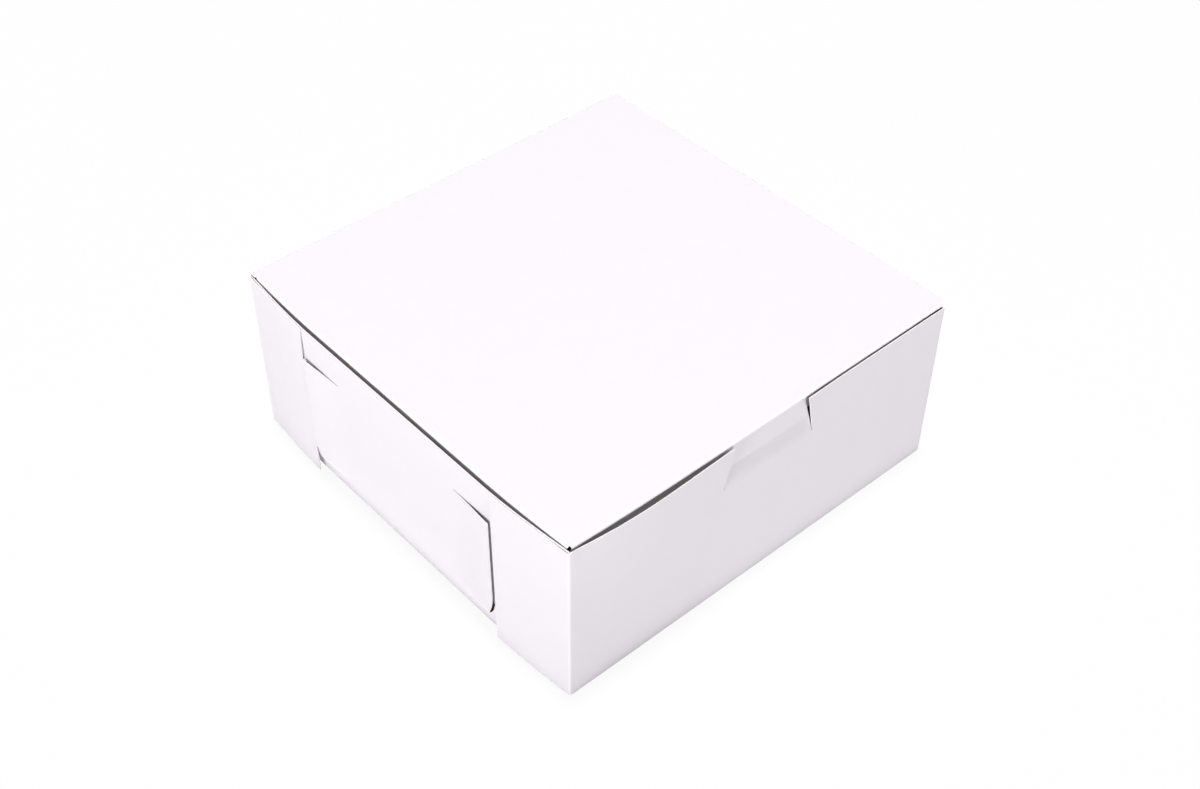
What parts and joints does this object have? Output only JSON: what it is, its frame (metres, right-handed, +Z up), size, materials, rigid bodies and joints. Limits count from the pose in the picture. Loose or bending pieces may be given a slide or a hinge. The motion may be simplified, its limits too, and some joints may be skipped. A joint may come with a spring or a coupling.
{
  "type": "bakery box",
  "caption": "Square lock-corner cake box folded from white board, closed by a creased lid whose front lip tucks behind the front wall.",
  "frame": {"origin": "middle of the underside of the bottom panel, which stands on the table", "axes": "+Z up; the front wall with the lid's lock faces -Y; the lid's crease runs along X on top of the back wall at +Y; the walls with the corner locks face -X and +X"},
  "size_m": [0.2634, 0.2569, 0.105],
  "materials": {
    "board": "white clay-coated folding board, dull satin outside"
  },
  "bodies": {
    "tray": {"tray": "board"},
    "lid": {"lid": "board"}
  },
  "joints": [
    {"name": "lid_hinge", "type": "hinge", "parent": "tray", "child": "lid", "pos_m": [0, 0.12675, 0.10475], "axis": [-1, 0, 0], "range_deg": [0, 180]}
  ]
}
